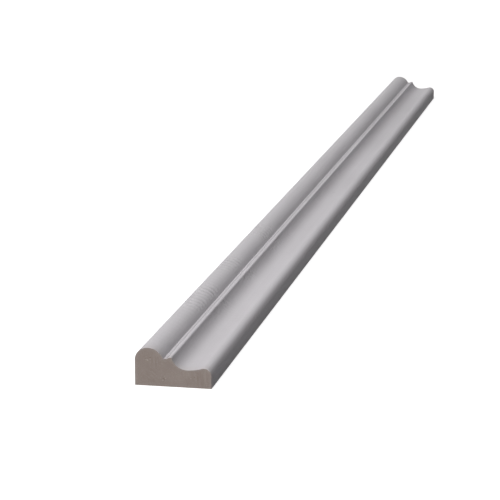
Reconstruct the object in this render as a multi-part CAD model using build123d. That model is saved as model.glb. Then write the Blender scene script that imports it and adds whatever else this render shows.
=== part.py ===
from build123d import *
from math import sqrt
import os

# A panel or base-cap moulding: one length of medium-density fibreboard, machined along its face
# and cut square at both ends. It lies on its flat back.
# +X runs across the width from the thick edge to the thin one, +Y along the length, +Z up out of the
# back. The origin is the middle of the back. Millimetres.

# Stock
length = 900.0
width = 36.0
thickness = 18.0  # from the back to the crest of the bead

# Bead along the thick edge: one radius rolls over to the edge, a fuller one runs down to the quirk
bead_edge_radius = 6.0
bead_face_radius = 8.0
quirk_depth = 5.0  # below the crest of the bead

# Fine flute in the bottom of the quirk
flute_width = 1.45
flute_depth = 0.3

# Nib that stands between the quirk and the cove
nib_run = 1.8  # from the flute to the crest of the nib
nib_rise = 0.9  # above the bottom of the quirk
nib_round = 0.85  # eased arris towards the cove

# Cove, and the nose on the thin edge
cove_radius = 7.5
cove_depth = 9.7  # below the crest of the bead
nose_rise = 1.2  # above the floor of the cove
nose_radius = 3.5


def section_points():
    """Where the arcs of the section meet, as (across, up) from the middle of the back."""
    thick_edge = -width / 2
    thin_edge = width / 2
    quirk_level = thickness - quirk_depth
    cove_floor = thickness - cove_depth

    edge_top = (thick_edge, thickness - bead_edge_radius)
    bead_crest = (thick_edge + bead_edge_radius, thickness)
    bead_fall = sqrt(bead_face_radius**2 - (bead_face_radius - quirk_depth) ** 2)
    quirk = (bead_crest[0] + bead_fall, quirk_level)
    flute_end = (quirk[0] + flute_width, quirk_level)
    nib_crest = (flute_end[0] + nib_run, quirk_level + nib_rise)

    # The nib's arris and the cove touch where the line between their centres crosses them
    centre_gap = cove_radius + nib_round
    centre_lift = (cove_floor + cove_radius) - (nib_crest[1] - nib_round)
    cove_run = sqrt(centre_gap**2 - centre_lift**2)
    cove_bottom = (nib_crest[0] + cove_run, cove_floor)
    share = nib_round / centre_gap
    cove_top = (
        nib_crest[0] + share * cove_run,
        nib_crest[1] - nib_round + share * centre_lift,
    )

    # From the floor of the cove a flat arc rises into the nose, and touches it in the same way
    nose_crest = (thin_edge - nose_radius, cove_floor + nose_rise)
    rise_run = nose_crest[0] - cove_bottom[0]
    both_radii = (rise_run**2 + nose_rise**2) / (2 * nose_rise)
    nose_share = nose_radius / both_radii
    nose_start = (
        nose_crest[0] - nose_share * rise_run,
        nose_crest[1] - nose_share * nose_rise,
    )
    nose_end = (thin_edge, nose_crest[1] - nose_radius)

    return {
        "back_thick": (thick_edge, 0.0),
        "edge_top": edge_top,
        "bead_crest": bead_crest,
        "quirk": quirk,
        "flute_end": flute_end,
        "nib_crest": nib_crest,
        "cove_top": cove_top,
        "cove_bottom": cove_bottom,
        "nose_start": nose_start,
        "nose_crest": nose_crest,
        "nose_end": nose_end,
        "back_thin": (thin_edge, 0.0),
    }


def make_moulding():
    """The section, drawn once and run along the whole length."""
    at = section_points()
    left, up, right = (-1, 0), (0, 1), (1, 0)
    with BuildPart() as moulding:
        with BuildSketch(Plane.XZ):
            with BuildLine():
                Line(at["back_thick"], at["edge_top"])
                TangentArc(at["edge_top"], at["bead_crest"], tangent=up)
                TangentArc(at["bead_crest"], at["quirk"], tangent=right)
                SagittaArc(at["quirk"], at["flute_end"], -flute_depth)
                TangentArc(at["nib_crest"], at["flute_end"], tangent=left)
                TangentArc(at["nib_crest"], at["cove_top"], tangent=right)
                TangentArc(at["cove_bottom"], at["cove_top"], tangent=left)
                TangentArc(at["cove_bottom"], at["nose_start"], tangent=right)
                TangentArc(at["nose_crest"], at["nose_start"], tangent=left)
                TangentArc(at["nose_crest"], at["nose_end"], tangent=right)
                Line(at["nose_end"], at["back_thin"])
                Line(at["back_thin"], at["back_thick"])
            make_face()
        extrude(amount=length / 2, both=True)
    return moulding.part


os.makedirs("parts", exist_ok=True)
moulding = make_moulding()
moulding.label = "moulding"
moulding.color = Color(0.56, 0.53, 0.56)
export_step(moulding, "parts/moulding.step")
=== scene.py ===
import math

import bmesh
import bpy
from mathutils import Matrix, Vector, noise
from mathutils.geometry import delaunay_2d_cdt


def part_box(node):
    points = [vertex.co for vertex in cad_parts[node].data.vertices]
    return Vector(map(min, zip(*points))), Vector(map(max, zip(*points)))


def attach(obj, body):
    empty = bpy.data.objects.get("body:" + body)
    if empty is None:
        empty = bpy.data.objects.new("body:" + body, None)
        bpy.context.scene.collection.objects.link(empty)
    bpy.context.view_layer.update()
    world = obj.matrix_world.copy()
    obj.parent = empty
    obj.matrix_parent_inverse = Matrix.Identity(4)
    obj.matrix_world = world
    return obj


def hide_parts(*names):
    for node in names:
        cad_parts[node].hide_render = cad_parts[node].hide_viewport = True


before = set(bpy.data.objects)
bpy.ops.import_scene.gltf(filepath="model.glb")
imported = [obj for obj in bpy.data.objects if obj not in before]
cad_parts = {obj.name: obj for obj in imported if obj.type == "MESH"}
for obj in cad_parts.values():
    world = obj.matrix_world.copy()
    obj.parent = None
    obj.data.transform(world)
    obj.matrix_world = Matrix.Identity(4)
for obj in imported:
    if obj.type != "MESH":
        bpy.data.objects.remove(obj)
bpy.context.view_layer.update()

NOISE_SEED = 7  # without one, the noise vectors differ from run to run
noise.seed_set(NOISE_SEED)

# Everything is in metres, in the frame's axes: X across, Y along, Z up out of the back. The factors
# and weights inside the materials are for millimetres.
MM = 0.001
low, high = (Vector(corner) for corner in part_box("moulding"))
WIDTH = high.x - low.x
THICKNESS = high.z - low.z
LENGTH = high.y - low.y

# The section's own sizes
BEAD_EDGE_RADIUS = 6.0 * MM
BEAD_FACE_RADIUS = 8.0 * MM
QUIRK_DEPTH = 5.0 * MM
REED_WIDTH = 1.45 * MM
REED_HEIGHT = 0.3 * MM
NIB_RUN = 1.8 * MM
NIB_RISE = 0.9 * MM
NIB_ROUND = 0.85 * MM
COVE_RADIUS = 7.5 * MM
COVE_DEPTH = 9.7 * MM
NOSE_RISE = 1.2 * MM
NOSE_RADIUS = 3.5 * MM

# How finely the mesh follows it
CHORD = 0.35 * MM  # on the wide arcs
FINE_CHORD = 0.12 * MM  # on the reed and the nib
ARRIS_CHORD = 0.06 * MM  # on the nib's arris
FLAT_STEP = 1.0 * MM
STATION_STEP = 6.0 * MM  # along the length
END_CELL = 0.7 * MM  # on the sawn ends
SHARP_TURN = math.radians(30)  # an edge that turns more than this is shaded as a corner

# The sawn ends: the arris that the blade left, and the relief of its cut on the face
SAW_EASE = 0.09 * MM
END_STEPS = (0.0, SAW_EASE, 0.4 * MM, 0.9 * MM, 2.0 * MM, 4.0 * MM)  # stations by each end
CHIP_PLAIN, CHIP_FINE, CHIP_WIDE = 0.8, 0.6, 0.5  # of the ease: everywhere, and in each grain
CHIP_FINE_GRAIN = 0.9 * MM
CHIP_WIDE_GRAIN = 3.1 * MM
CHIP_WIDE_SHIFT = Vector((7.0, 3.0, 1.0))  # keeps the wide noise apart from the fine
BLADE_CENTRE = (-40 * MM, 170 * MM)  # across and up
BLADE_PITCH = 1.3 * MM
BLADE_WANDER = 2.5  # radians
BLADE_WANDER_GRAIN = 9 * MM
BLADE_DEPTH = 0.003 * MM
TORN_GRAIN = (0.9 * MM, 0.5 * MM)  # across and up
TORN_SHIFT = 5.0  # keeps the two ends' noise apart
TORN_DEPTH = 0.03 * MM
CELL_SHAKE = 0.25  # of a cell
CELL_SHAKE_STEP = (1.7, 1.3)  # how far the noise moves on from one cell to the next

PRIMED_SLOT, BARE_SLOT = 0, 1  # the mesh's materials

# Camera, fitted to the outlines in the photograph
CAMERA_PLACE = (216.94 * MM, -1356.55 * MM, 274.75 * MM)
CAMERA_DOWN = 12.7288  # degrees below the horizon
CAMERA_LEFT = 11.2928  # degrees from the length's direction
CAMERA_LENS = 152.323  # mm
CAMERA_SENSOR = 36.0  # mm
CAMERA_CLIP = (0.01, 50.0)

# The cutter's chatter on the primed face: places along the length, how far each reaches, and how
# strong it is there
CHATTER_SPOTS = (
    (-346 * MM, 36 * MM, 1.0),
    (-270 * MM, 30 * MM, 0.8),
    (-190 * MM, 32 * MM, 0.85),
    (-58 * MM, 22 * MM, 0.4),
    (20 * MM, 55 * MM, 0.7),
    (118 * MM, 34 * MM, 0.7),
    (194 * MM, 26 * MM, 0.5),
    (325 * MM, 40 * MM, 0.5),
)
CHATTER_LEAST = 0.15  # anywhere along the length
CHATTER_CORE = 0.2  # the share of its reach in which a place is at its full strength
CHATTER_FLOOR = (9.2 * MM, 12.0 * MM)  # heights: faint on the cove's floor, full above it
CHATTER_ON_FLOOR = 0.15
CHATTER_GAP = 15 * MM  # from the thick edge: the middle of the reed and nib
CHATTER_GAP_HALF = (2.2 * MM, 3.2 * MM)  # faint inside it, full outside it
CHATTER_IN_GAP = 0.25

# The scallops that the chatter is made of
SCALLOP_FINE = 2.1 * MM
SCALLOP_BROAD = 5.2 * MM
SCALLOP_SWAY = 0.8  # of a scallop
SCALLOP_CURVE_FROM = 7.5 * MM  # from the thick edge, where they start to curve off
SCALLOP_CURVE = 0.4 / MM  # how far along the length for each square of the way outwards
SCALLOP_CURVE_MOST = 16 * MM
SCALLOP_FADE = 0.25 / MM  # how much weaker for the way outwards

# The sawn ends' marks: places across from the thick edge and up from the back, and how far each
# reaches
TORN_SPOTS = (
    ((6.3 * MM, 12.2 * MM), 2.6 * MM),
    ((13.4 * MM, 3.6 * MM), 2.4 * MM),
    ((27.2 * MM, 5.2 * MM), 2.0 * MM),
    ((23.4 * MM, 1.2 * MM), 1.2 * MM),
)
TORN_ELSEWHERE = 0.15
UPRIGHT_SPOTS = (
    ((9.6 * MM, 11.5 * MM), 4.2 * MM),
    ((31.0 * MM, 4.6 * MM), 5.5 * MM),
    ((24.5 * MM, 6.6 * MM), 3.5 * MM),
)
UPRIGHT_LEAN = 3.0  # degrees
SLANTING_SPOTS = (((7.5 * MM, 5.0 * MM), 5.0 * MM),)
SLANTING_LEAN = 48.0  # degrees
SPOT_CORE = 0.3  # the share of its reach in which a spot is at its full strength
SPECK_CORE = 0.6  # and the same for a speck, of the primer or the board
SPECK_GRAIN = 0.9  # grains of ragged noise to a speck's size

# Dust at the sawn ends
RIM_DUST = 2.2 * MM  # how far primer dust reaches in over the board
RIM_DUST_MOST = 0.5
SAW_DUST = 9 * MM  # and how far the board's dust reaches along the primer
SAW_DUST_MOST = 0.26

# Colours, linear
PRIMER_THIN = (0.500, 0.481, 0.500)
PRIMER_FULL = (0.590, 0.567, 0.591)
BOARD_DARK = (0.325, 0.268, 0.238)
BOARD = (0.400, 0.340, 0.308)
BOARD_LIGHT = (0.60, 0.54, 0.50)
# the board inside a pore, darkened as painted shade
BOARD_IN_PORE_SHADE = (0.20, 0.155, 0.130)
BOARD_RIM = (0.405, 0.360, 0.345)
WHITE = (1, 1, 1, 1)

# Light: each lamp's place, power and width
LAMPS = {
    "key": ((-0.80, -1.30, 1.386), 23.3, 0.8),
    "far_fill": ((0.223, 0.20, 1.584), 6.1, 0.8),
    "near_fill": ((0.223, -0.60, 1.584), 3.6, 0.8),
    "front": ((-0.30, -3.00, 0.35), 20.3, 1.0),
    "back": ((-0.50, 5.50, 0.30), 36.0, 1.0),
}
LAMP_TARGET = Vector((0, -0.1, 0))
AMBIENT = 0.04

# Floor: what the camera sees is white, less where a shadow falls, and what lights the object is dim
FLOOR_SIZE = 12.0
FLOOR_SHADED = 0.6  # shadows show this far from the middle
FLOOR_WHITE = 1.2  # and it is plain white from here on
FLOOR_GLOW = 0.8  # where shadows show
FLOOR_PALE = (0.5, 0.5, 0.5, 1)
FLOOR_DIM = (0.106, 0.096, 0.106, 1)


def arc_points(centre, radius, start, end, chord):
    """Points on an arc from one angle to the other, in degrees, without the last."""
    sweep = math.radians(end - start)
    steps = max(2, math.ceil(abs(sweep) * radius / chord))
    return [
        (
            centre[0] + radius * math.cos(math.radians(start) + sweep * i / steps),
            centre[1] + radius * math.sin(math.radians(start) + sweep * i / steps),
        )
        for i in range(steps)
    ]


def line_points(start, end, step):
    """Points on a straight line, without the last."""
    steps = max(1, round(math.dist(start, end) / step))
    return [
        (
            start[0] + (end[0] - start[0]) * i / steps,
            start[1] + (end[1] - start[1]) * i / steps,
        )
        for i in range(steps)
    ]


def section():
    """The outline as points (x, z), clockwise from the bottom of the thick edge, and how many of
    them are primed. The others are the back."""
    thick_edge, thin_edge, back = low.x, high.x, low.z
    crest = (thick_edge + BEAD_EDGE_RADIUS, high.z)
    quirk_level = crest[1] - QUIRK_DEPTH
    cove_floor = crest[1] - COVE_DEPTH

    edge_centre = (crest[0], crest[1] - BEAD_EDGE_RADIUS)
    face_centre = (crest[0], crest[1] - BEAD_FACE_RADIUS)
    quirk_angle = math.degrees(math.asin((quirk_level - face_centre[1]) / BEAD_FACE_RADIUS))
    quirk_x = crest[0] + BEAD_FACE_RADIUS * math.cos(math.radians(quirk_angle))

    reed_radius = (REED_WIDTH**2 / 4 + REED_HEIGHT**2) / (2 * REED_HEIGHT)
    reed_centre = (quirk_x + REED_WIDTH / 2, quirk_level + REED_HEIGHT - reed_radius)
    reed_half = math.degrees(math.asin(REED_WIDTH / 2 / reed_radius))
    reed_end = quirk_x + REED_WIDTH

    nib_crest = (reed_end + NIB_RUN, quirk_level + NIB_RISE)
    nib_radius = (NIB_RUN**2 + NIB_RISE**2) / (2 * NIB_RISE)
    nib_centre = (nib_crest[0], nib_crest[1] - nib_radius)
    nib_start = 90 + math.degrees(math.asin(NIB_RUN / nib_radius))
    arris_centre = (nib_crest[0], nib_crest[1] - NIB_ROUND)

    lift = (cove_floor + COVE_RADIUS) - arris_centre[1]
    gap = COVE_RADIUS + NIB_ROUND
    cove_angle = math.degrees(math.asin(lift / gap))
    cove_centre = (nib_crest[0] + math.sqrt(gap**2 - lift**2), cove_floor + COVE_RADIUS)

    nose_centre = (thin_edge - NOSE_RADIUS, cove_floor + NOSE_RISE - NOSE_RADIUS)
    run = nose_centre[0] - cove_centre[0]
    radii = (run**2 + NOSE_RISE**2) / (2 * NOSE_RISE)
    rise_radius = radii - NOSE_RADIUS
    rise_centre = (cove_centre[0], cove_floor + rise_radius)
    rise_angle = math.degrees(math.asin(run / radii))

    primed = line_points((thick_edge, back), (thick_edge, edge_centre[1]), FLAT_STEP)
    for arc in (
        (edge_centre, BEAD_EDGE_RADIUS, 180, 90, CHORD),
        (face_centre, BEAD_FACE_RADIUS, 90, quirk_angle, CHORD),
        (reed_centre, reed_radius, 90 + reed_half, 90 - reed_half, FINE_CHORD),
        (nib_centre, nib_radius, nib_start, 90, FINE_CHORD),
        (arris_centre, NIB_ROUND, 90, cove_angle, ARRIS_CHORD),
        (cove_centre, COVE_RADIUS, 180 + cove_angle, 270, CHORD),
        (rise_centre, rise_radius, 270, 270 + rise_angle, CHORD),
        (nose_centre, NOSE_RADIUS, 90 + rise_angle, 0, CHORD),
    ):
        primed += arc_points(*arc)
    primed += line_points((thin_edge, nose_centre[1]), (thin_edge, back), FLAT_STEP)
    return primed + line_points((thin_edge, back), (thick_edge, back), FLAT_STEP), len(primed)


def inset(outline, depths):
    """The outline with each point moved inwards by its own depth."""
    moved = []
    for i, here in enumerate(outline):
        before, after = Vector(outline[i - 1]), Vector(outline[(i + 1) % len(outline)])
        along = (after - before).normalized()
        inward = Vector((along.y, -along.x))
        moved.append(tuple(Vector(here) + inward * depths[i]))
    return moved


def rim_distance(point, outline):
    """How far a point of a sawn end is from the outline."""
    distances = []
    for i, here in enumerate(outline):
        a, b = Vector(outline[i - 1]), Vector(here)
        along = max(0.0, min(1.0, (point - a).dot(b - a) / (b - a).length_squared))
        distances.append((a + (b - a) * along - point).length)
    return min(distances)


def is_inside(point, outline):
    """Whether a point lies inside the closed outline."""
    inside = False
    for i, b in enumerate(outline):
        a = outline[i - 1]
        if (a[1] > point.y) == (b[1] > point.y):
            continue
        if point.x < a[0] + (point.y - a[1]) / (b[1] - a[1]) * (b[0] - a[0]):
            inside = not inside
    return inside


def stations():
    """Places along the length: close together by the ends, where the arris is chipped."""
    half = LENGTH / 2
    inner = half - END_STEPS[-1]
    steps = round(2 * inner / STATION_STEP)
    middle = [-inner + 2 * inner * i / steps for i in range(1, steps)]
    return [-half + step for step in END_STEPS] + middle + [half - step for step in reversed(END_STEPS)]


def chip(x, y, z):
    """How far the sawn arris is broken back at a place."""
    fine = noise.noise(Vector((x, y, z)) / CHIP_FINE_GRAIN)
    wide = noise.noise(Vector((x, y, z)) / CHIP_WIDE_GRAIN + CHIP_WIDE_SHIFT)
    return SAW_EASE * (CHIP_PLAIN + CHIP_FINE * fine + CHIP_WIDE * wide)


def saw_relief(x, z, end):
    """Depth of the sawn face: shallow arcs that the blade left, and torn fibres."""
    turns = math.hypot(x - BLADE_CENTRE[0], z - BLADE_CENTRE[1]) / BLADE_PITCH
    wander = BLADE_WANDER * noise.noise(Vector((x, z, end)) / BLADE_WANDER_GRAIN)
    arcs = math.sin(turns * math.tau + wander)
    torn = noise.noise(Vector((x / TORN_GRAIN[0], z / TORN_GRAIN[1], TORN_SHIFT * end)))
    return BLADE_DEPTH * (1 + arcs) + TORN_DEPTH * max(0.0, torn)


def add_face(mesh, verts, slot):
    face = mesh.faces.new(verts)
    face.material_index = slot
    face.smooth = True


def add_ring(mesh, rim, ring, primed, y):
    """The outline's vertices at one station. Those on the back know how far the primer is."""
    row = [mesh.verts.new((x, y, z)) for x, z in ring]
    for i in range(primed + 1, len(row)):
        row[i][rim] = min(i - primed, len(row) - i) * FLAT_STEP
    return row


def cell_points(ring, end):
    """Points over a sawn end, a shaken cell apart, clear of its rim."""
    columns = int(WIDTH / END_CELL)
    levels = int(THICKNESS / END_CELL)
    points = []
    for i in range(1, columns):
        for k in range(1, levels):
            place = Vector((i * CELL_SHAKE_STEP[0], k * CELL_SHAKE_STEP[1], end))
            shake = noise.noise_vector(place) * CELL_SHAKE
            across = low.x + (i + shake.x) * WIDTH / columns
            up = low.z + (k + shake.y) * THICKNESS / levels
            point = Vector((across, up))
            if is_inside(point, ring) and rim_distance(point, ring) > END_CELL / 2:
                points.append(point)
    return points


def close_end(mesh, rim, row, outline, end):
    """Fills a sawn end with small cells, so that the relief of the cut is in the mesh."""
    ring = [Vector((vert.co.x, vert.co.z)) for vert in row]
    loop = [(i, (i + 1) % len(row)) for i in range(len(row))]
    inner = cell_points([tuple(point) for point in ring], end)
    inside_only, tolerance = 1, 1e-7
    found, _, triangles, origin, _, _ = delaunay_2d_cdt(ring + inner, loop, [], inside_only, tolerance)
    verts = []
    for point, sources in zip(found, origin):
        if sources[0] < len(row):
            verts.append(row[sources[0]])
            continue
        y = row[0].co.y - end * saw_relief(point.x, point.y, end)
        vert = mesh.verts.new((point.x, y, point.y))
        vert[rim] = rim_distance(point, outline)
        verts.append(vert)
    for corners in triangles:
        add_face(mesh, [verts[corner] for corner in corners], BARE_SLOT)


def build_moulding():
    """The whole length as one closed mesh. Its rim layer is how far bare board is from the primer."""
    outline, primed = section()
    count = len(outline)
    mesh = bmesh.new()
    rim = mesh.verts.layers.float.new("rim")
    places = stations()
    rows = []
    for y in places:
        at_end = y in (places[0], places[-1])
        ring = inset(outline, [chip(x, y, z) for x, z in outline]) if at_end else outline
        rows.append(add_ring(mesh, rim, ring, primed, y))
    for a, b in zip(rows, rows[1:]):
        for i in range(count):
            j = (i + 1) % count
            add_face(mesh, (a[i], b[i], b[j], a[j]), PRIMED_SLOT if i < primed else BARE_SLOT)
    for row, end in ((rows[0], -1), (rows[-1], 1)):
        close_end(mesh, rim, row, outline, end)
    bmesh.ops.recalc_face_normals(mesh, faces=mesh.faces)
    for edge in mesh.edges:
        edge.smooth = edge.calc_face_angle() <= SHARP_TURN
    data = bpy.data.meshes.new("moulding_stock")
    mesh.to_mesh(data)
    mesh.free()
    return data


def material(name):
    made = bpy.data.materials.new(name)
    made.use_nodes = True
    made.node_tree.nodes.clear()
    return made, made.node_tree


def node(tree, kind, settings=None, **inputs):
    """A node with its settings and inputs. An input is given by its name, or as i0 for the first,
    and one that is a socket is linked."""
    made = tree.nodes.new(kind)
    for key, value in (settings or {}).items():
        setattr(made, key, value)
    for key, value in inputs.items():
        socket = made.inputs[int(key[1:])] if key[0] == "i" and key[1:].isdigit() else made.inputs[key]
        if isinstance(value, bpy.types.NodeSocket):
            tree.links.new(value, socket)
        else:
            socket.default_value = value
    return made


def calc(tree, operation, a, b=0.0):
    return node(tree, "ShaderNodeMath", {"operation": operation}, i0=a, i1=b).outputs[0]


def vector_calc(tree, operation, a, b=(0, 0, 0)):
    made = node(tree, "ShaderNodeVectorMath", {"operation": operation}, i0=a, i1=b)
    return made.outputs["Value" if operation in ("LENGTH", "DISTANCE") else "Vector"]


def total(tree, *terms):
    """The sum of each value times its weight."""
    result = None
    for value, weight in terms:
        scaled = calc(tree, "MULTIPLY", value, weight)
        result = scaled if result is None else calc(tree, "ADD", result, scaled)
    return result


def any_of(tree, values):
    """The greatest of some values."""
    result = values[0]
    for value in values[1:]:
        result = calc(tree, "MAXIMUM", result, value)
    return result


def remap(tree, value, start, end, low_out=0.0, high_out=1.0):
    """Eases a value from low_out at start to high_out at end."""
    made = node(
        tree, "ShaderNodeMapRange", {"interpolation_type": "SMOOTHSTEP"},
        i0=value, i1=start, i2=end, i3=low_out, i4=high_out,
    )
    return made.outputs[0]


def blend(tree, factor, a, b):
    """Colour a where the factor is 0 and b where it is 1."""
    a, b = ((*c, 1) if isinstance(c, tuple) else c for c in (a, b))
    made = node(tree, "ShaderNodeMix", {"data_type": "RGBA"}, i0=factor, i6=a, i7=b)
    return made.outputs[2]


def stretched(tree, factors=(1, 1, 1)):
    """The place on the object in millimetres, times a factor for each axis."""
    place = node(tree, "ShaderNodeTexCoord").outputs["Object"]
    return vector_calc(tree, "MULTIPLY", place, tuple(factor / MM for factor in factors))


def axes_of(tree):
    """The place on the object in millimetres, as X, Y and Z apart."""
    return node(tree, "ShaderNodeSeparateXYZ", i0=stretched(tree)).outputs


def cloud(tree, factors, detail=2.0, roughness=0.5):
    """Noise from 0 to 1 whose grain is 1 / factor millimetres along each axis."""
    made = node(
        tree, "ShaderNodeTexNoise", Vector=stretched(tree, factors),
        Scale=1.0, Detail=detail, Roughness=roughness,
    )
    return made.outputs["Fac"]


def specks(tree, spacing, size, share, ragged=0.0):
    """1 at small specks, one for each cell of the spacing that the share lets through. They are
    round, or ragged by up to so many millimetres."""
    place = stretched(tree)
    if ragged:
        shake = node(tree, "ShaderNodeTexNoise", Vector=place, Scale=SPECK_GRAIN / size, Detail=3.0)
        shake = vector_calc(tree, "SUBTRACT", shake.outputs["Color"], (0.5, 0.5, 0.5))
        shake = vector_calc(tree, "MULTIPLY", shake, (2 * ragged,) * 3)
        place = vector_calc(tree, "ADD", place, shake)
    cells = node(tree, "ShaderNodeTexVoronoi", Vector=place, Scale=1.0 / spacing)
    chosen = node(tree, "ShaderNodeSeparateColor", i0=cells.outputs["Color"]).outputs[0]
    kept = calc(tree, "LESS_THAN", chosen, share)
    near = remap(tree, cells.outputs["Distance"], size / spacing, SPECK_CORE * size / spacing)
    return calc(tree, "MULTIPLY", near, kept)


def finish(tree, colour, roughness, gloss, height):
    """A rough surface of a colour, with a relief in millimetres."""
    bsdf = node(
        tree, "ShaderNodeBsdfPrincipled",
        **{"Base Color": colour, "Roughness": roughness, "Specular IOR Level": gloss},
        Normal=node(tree, "ShaderNodeBump", Height=height, Distance=MM).outputs[0],
    )
    node(tree, "ShaderNodeOutputMaterial", Surface=bsdf.outputs[0])


def ripple(tree, pitch):
    """The cutter's scallops, a pitch apart: 1 on the ridges between them and -1 in their middles.
    They sway a little, and on the bead's outer side they curve off and fade."""
    at = axes_of(tree)
    outside = calc(tree, "SUBTRACT", (low.x + SCALLOP_CURVE_FROM) / MM, at["X"])
    outside = calc(tree, "MAXIMUM", outside, 0.0)
    curve = calc(tree, "MULTIPLY", calc(tree, "MULTIPLY", outside, outside), SCALLOP_CURVE * MM)
    curve = calc(tree, "MINIMUM", curve, SCALLOP_CURVE_MOST / MM)
    turns = calc(tree, "MULTIPLY", calc(tree, "SUBTRACT", at["Y"], curve), math.pi * MM / pitch)
    sway = cloud(tree, (0.05, 0.02, 0.05), detail=1.0)
    turns = calc(tree, "ADD", turns, calc(tree, "MULTIPLY", sway, SCALLOP_SWAY * math.pi))
    scallop = calc(tree, "ABSOLUTE", calc(tree, "SINE", turns))
    wave = calc(tree, "SUBTRACT", 1.0, calc(tree, "MULTIPLY", scallop, 2.0))
    fade = calc(tree, "ADD", calc(tree, "MULTIPLY", outside, SCALLOP_FADE * MM), 1.0)
    return calc(tree, "DIVIDE", wave, fade)


def chatter_mask(tree):
    """Where the scallops show: about some places along the length, and hardly on the cove's floor,
    the reed and the nib."""
    at = axes_of(tree)
    bursts = []
    for along, reach, strength in CHATTER_SPOTS:
        away = calc(tree, "ABSOLUTE", calc(tree, "SUBTRACT", at["Y"], along / MM))
        bursts.append(remap(tree, away, reach / MM, CHATTER_CORE * reach / MM, 0.0, strength))
    shown = calc(tree, "MAXIMUM", any_of(tree, bursts), CHATTER_LEAST)

    patches = remap(tree, cloud(tree, (0.12, 0.05, 0.12)), 0.35, 0.65, 0.4, 1.0)
    from_floor, clear_of_floor = (height / MM for height in CHATTER_FLOOR)
    off_floor = remap(tree, at["Z"], from_floor, clear_of_floor, CHATTER_ON_FLOOR, 1.0)
    away = calc(tree, "ABSOLUTE", calc(tree, "SUBTRACT", at["X"], (low.x + CHATTER_GAP) / MM))
    inside_gap, outside_gap = (half / MM for half in CHATTER_GAP_HALF)
    off_gap = remap(tree, away, inside_gap, outside_gap, CHATTER_IN_GAP, 1.0)
    for mask in (patches, off_floor, off_gap):
        shown = calc(tree, "MULTIPLY", shown, mask)
    return shown


def saw_dust(tree):
    """The board's dust, caught in the primer's grain: 0 along the length and up to 1 at the ends."""
    from_middle = calc(tree, "ABSOLUTE", axes_of(tree)["Y"])
    close = remap(tree, from_middle, (LENGTH / 2 - SAW_DUST) / MM, LENGTH / 2 / MM)
    patches = remap(tree, cloud(tree, (0.6, 0.3, 0.6), detail=3.0), 0.3, 0.7, 0.5, 1.0)
    return calc(tree, "MULTIPLY", close, patches)


def primer_material():
    """A thin satin coat over machined board: the cutter's ripple in patches, orange peel, raised
    fibres, a few nibs of dust, small dents, and the saw's dust at the ends. The dents and the
    ripple's hollows are also painted a little darker, as painted shade."""
    made, tree = material("primer")
    clouds = cloud(tree, (0.05, 0.012, 0.05))
    peel = cloud(tree, (0.8, 0.8, 0.8), detail=1.0)
    fibre = cloud(tree, (4.0, 2.2, 4.0), detail=4.0, roughness=0.65)
    streaks = cloud(tree, (1.3, 0.004, 1.3), detail=3.0)
    nibs = specks(tree, spacing=9.0, size=0.16, share=0.5)
    dents_with_painted_shade = specks(tree, spacing=24.0, size=1.3, share=0.35)
    chatter = chatter_mask(tree)
    fine = calc(tree, "MULTIPLY", ripple(tree, SCALLOP_FINE), chatter)
    broad = calc(tree, "MULTIPLY", ripple(tree, SCALLOP_BROAD), chatter)

    # Painted shade: the dents, and faintly the scallops' hollows, darken the primer's colour
    tone = total(tree, (clouds, 0.7), (fibre, 1.1), (broad, 0.05), (streaks, 0.35), (dents_with_painted_shade, -0.4))
    colour = blend(tree, remap(tree, tone, 0.60, 1.55), PRIMER_THIN, PRIMER_FULL)
    colour = blend(tree, calc(tree, "MULTIPLY", saw_dust(tree), SAW_DUST_MOST), colour, BOARD)
    height = total(
        tree, (fine, 0.045), (broad, 0.45), (peel, 0.060),
        (fibre, 0.045), (streaks, 0.012), (nibs, 0.05), (dents_with_painted_shade, -0.10),
    )
    finish(tree, colour, remap(tree, fibre, 0.3, 0.7, 0.64, 0.76), 0.3, height)
    return made


def strokes(tree, lean, across, along):
    """Short marks on a sawn end, lighter and darker about 0, leaning by some degrees."""
    turned = node(
        tree, "ShaderNodeVectorRotate", {"rotation_type": "Y_AXIS"},
        Vector=stretched(tree), Angle=math.radians(lean),
    )
    scaled = vector_calc(tree, "MULTIPLY", turned.outputs[0], (across, 0.3, along))
    made = node(tree, "ShaderNodeTexNoise", Vector=scaled, Scale=1.0, Detail=2.0)
    return calc(tree, "SUBTRACT", made.outputs["Fac"], 0.5)


def near_spots(tree, spots):
    """1 about some places on the ends, given across from the thick edge and up from the back."""
    at = axes_of(tree)
    flat = node(tree, "ShaderNodeCombineXYZ", X=at["X"], Z=at["Z"]).outputs[0]
    near = []
    for (across, up), reach in spots:
        centre = ((low.x + across) / MM, 0.0, (low.z + up) / MM)
        away = vector_calc(tree, "DISTANCE", flat, centre)
        near.append(remap(tree, away, reach / MM, SPOT_CORE * reach / MM))
    return any_of(tree, near)


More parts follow.
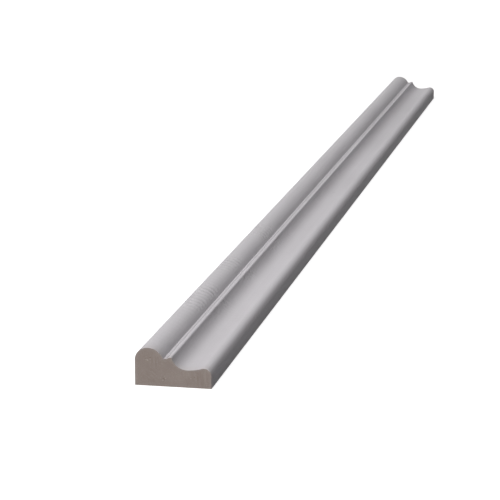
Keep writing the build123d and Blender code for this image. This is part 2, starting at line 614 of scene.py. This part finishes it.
def board_material():
    """Bare fibreboard: matted fibres, spots where the saw tore them, faint strokes of the blade in
    places, primer dust on the rim, and pores, sunk in the relief and painted dark as their shade."""
    made, tree = material("bare_board")
    rim = node(tree, "ShaderNodeAttribute", {"attribute_name": "rim"}).outputs["Fac"]
    mat = cloud(tree, (1.5, 1.5, 2.0), detail=6.0, roughness=0.7)
    fuzz = cloud(tree, (5.0, 5.0, 8.0), detail=4.0, roughness=0.6)
    clump = cloud(tree, (0.12, 0.12, 0.12), detail=2.0)
    ragged = cloud(tree, (0.9, 0.9, 0.9), detail=3.0)
    torn = calc(tree, "MAXIMUM", near_spots(tree, TORN_SPOTS), TORN_ELSEWHERE)
    flecks = calc(tree, "MULTIPLY", specks(tree, spacing=1.0, size=0.36, share=0.7, ragged=0.5), torn)
    pores_with_painted_shade = calc(tree, "MULTIPLY", specks(tree, spacing=1.2, size=0.42, share=0.6, ragged=0.6), torn)
    upright = calc(
        tree, "MULTIPLY", strokes(tree, UPRIGHT_LEAN, 1.0, 0.12), near_spots(tree, UPRIGHT_SPOTS),
    )
    slanting = calc(
        tree, "MULTIPLY", strokes(tree, SLANTING_LEAN, 0.8, 0.18), near_spots(tree, SLANTING_SPOTS),
    )
    sawn = calc(tree, "ADD", upright, slanting)

    tone = total(tree, (mat, 0.7), (fuzz, 1.2), (sawn, 1.5), (clump, 0.6))
    colour = blend(tree, remap(tree, tone, 0.90, 1.62), BOARD_DARK, BOARD)
    colour = blend(tree, calc(tree, "MULTIPLY", flecks, 0.7), colour, BOARD_LIGHT)
    # Painted shade: the pores are darkened towards the colour of board in shade
    colour = blend(tree, calc(tree, "MULTIPLY", pores_with_painted_shade, 0.6), colour, BOARD_IN_PORE_SHADE)
    dust = total(tree, (ragged, 1.4), (rim, -1.0 / RIM_DUST))
    colour = blend(tree, remap(tree, dust, 0.0, 0.8, 0.0, RIM_DUST_MOST), colour, BOARD_RIM)
    height = total(tree, (mat, 0.05), (fuzz, 0.05), (sawn, 0.05), (flecks, 0.03), (pores_with_painted_shade, -0.10))
    finish(tree, colour, 0.9, 0.2, height)
    return made


def ray_is_direct(tree):
    """1 for what the camera sees, straight, in a gloss or through glass, and 0 for light on its way."""
    path = node(tree, "ShaderNodeLightPath").outputs
    return any_of(tree, [path[f"Is {kind} Ray"] for kind in ("Camera", "Glossy", "Transmission")])


def build_floor():
    bpy.ops.mesh.primitive_plane_add(size=FLOOR_SIZE, location=(0, 0, 0))
    floor = bpy.context.object
    floor.name = "floor"
    made, tree = material("floor")
    dim = node(tree, "ShaderNodeBsdfDiffuse", Color=FLOOR_DIM)
    pale = node(tree, "ShaderNodeBsdfDiffuse", Color=FLOOR_PALE)
    place = node(tree, "ShaderNodeTexCoord").outputs["Object"]
    away = vector_calc(tree, "LENGTH", place)
    glow = remap(tree, away, FLOOR_SHADED, FLOOR_WHITE, FLOOR_GLOW, 1.0)
    white = node(tree, "ShaderNodeEmission", Color=WHITE, Strength=glow)
    seen = node(tree, "ShaderNodeAddShader", i0=pale.outputs[0], i1=white.outputs[0])
    mix = node(tree, "ShaderNodeMixShader", Fac=ray_is_direct(tree), i1=dim.outputs[0], i2=seen.outputs[0])
    node(tree, "ShaderNodeOutputMaterial", Surface=mix.outputs[0])
    floor.data.materials.append(made)


def build_world():
    world = bpy.data.worlds.new("studio")
    bpy.context.scene.world = world
    world.use_nodes = True
    tree = world.node_tree
    tree.nodes.clear()
    soft = node(tree, "ShaderNodeBackground", Color=WHITE, Strength=AMBIENT)
    white = node(tree, "ShaderNodeBackground", Color=WHITE, Strength=1.0)
    mix = node(tree, "ShaderNodeMixShader", Fac=ray_is_direct(tree), i1=soft.outputs[0], i2=white.outputs[0])
    node(tree, "ShaderNodeOutputWorld", Surface=mix.outputs[0])


def build_lamps():
    for name, (place, power, width) in LAMPS.items():
        lamp = bpy.data.lights.new(name, "AREA")
        lamp.shape = "DISK"
        lamp.size = width
        lamp.energy = power
        holder = bpy.data.objects.new(name, lamp)
        holder.location = place
        holder.rotation_euler = (Vector(place) - LAMP_TARGET).to_track_quat("Z", "Y").to_euler()
        bpy.context.scene.collection.objects.link(holder)


def build_camera():
    lens = bpy.data.cameras.new("camera")
    lens.lens = CAMERA_LENS
    lens.sensor_width = CAMERA_SENSOR
    lens.clip_start, lens.clip_end = CAMERA_CLIP
    holder = bpy.data.objects.new("camera", lens)
    holder.location = CAMERA_PLACE
    holder.rotation_euler = (math.radians(90 - CAMERA_DOWN), 0, math.radians(CAMERA_LEFT))
    bpy.context.scene.collection.objects.link(holder)
    bpy.context.scene.camera = holder


def dress_moulding():
    stock = bpy.data.objects.new("moulding_stock", build_moulding())
    stock.data.materials.append(primer_material())
    stock.data.materials.append(board_material())
    bpy.context.scene.collection.objects.link(stock)
    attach(stock, "root")
    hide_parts("moulding")


dress_moulding()
build_floor()
build_world()
build_lamps()
build_camera()
bpy.context.scene.view_settings.view_transform = "Standard"
